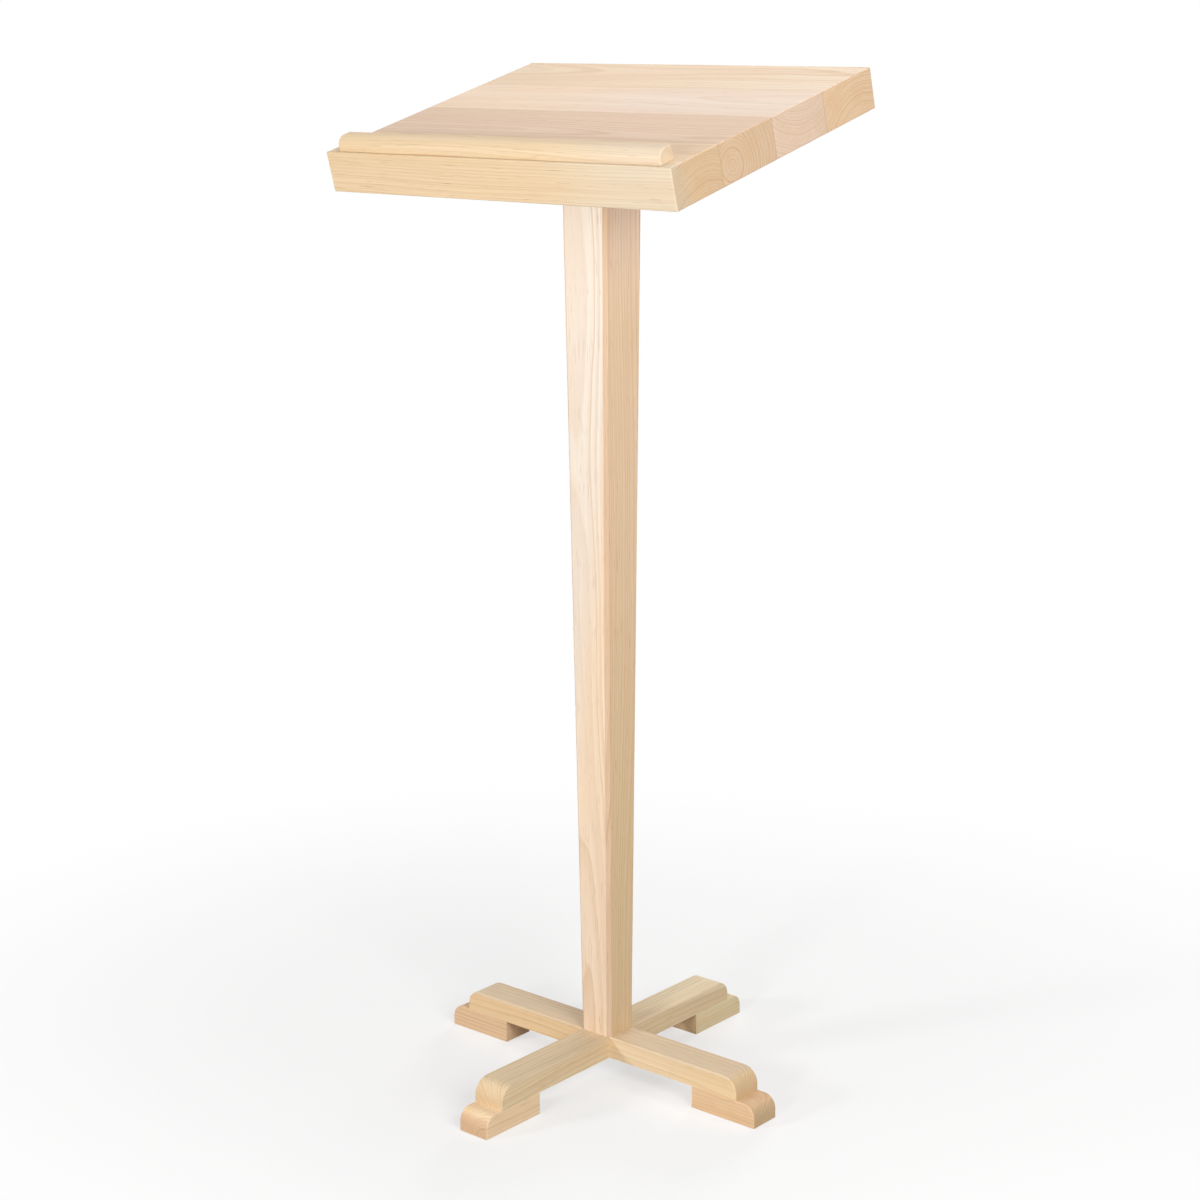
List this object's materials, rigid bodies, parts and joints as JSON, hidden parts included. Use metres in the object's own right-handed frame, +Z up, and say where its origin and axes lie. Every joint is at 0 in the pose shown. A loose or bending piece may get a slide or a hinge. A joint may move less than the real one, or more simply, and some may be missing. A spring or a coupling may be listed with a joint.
{
  "type": "lectern",
  "caption": "Free-standing pine lectern: a thick sloping desk with a book ledge on a tapered square post and a half-lapped cross base with foot blocks.",
  "frame": {"origin": "on the floor, below the axis of the post", "axes": "+Z up, +X to the reader's right, +Y away from the reader who stands at the low edge of the desk"},
  "size_m": [0.5, 0.481, 1.2013],
  "materials": {
    "pine_desk": "clear satin lacquer",
    "pine_ledge": "clear satin lacquer",
    "pine_post": "clear satin lacquer",
    "pine_base": "clear satin lacquer",
    "pine_foot": "clear satin lacquer",
    "pine_cleat": "planed, unfinished",
    "beech_dowel": "turned, unfinished",
    "zinc_steel": "bright zinc plating",
    "brass_insert": "turned"
  },
  "bodies": {
    "root": {"desk_board_1": "pine_desk", "desk_board_2": "pine_desk", "desk_board_3": "pine_desk", "desk_board_4": "pine_desk", "edge_dowels": "beech_dowel", "book_ledge": "pine_ledge", "ledge_dowels": "beech_dowel", "cleat_left": "pine_cleat", "cleat_right": "pine_cleat", "cleat_screws": "zinc_steel", "head_bolts": "zinc_steel", "head_washers": "zinc_steel", "head_nuts": "zinc_steel", "post": "pine_post", "beam_left_right": "pine_base", "beam_front_rear": "pine_base", "foot_right": "pine_foot", "foot_rear": "pine_foot", "foot_left": "pine_foot", "foot_front": "pine_foot", "foot_screws": "zinc_steel", "base_bolt": "zinc_steel", "base_washer": "zinc_steel", "base_insert": "brass_insert", "base_dowels": "beech_dowel"}
  },
  "joints": []
}
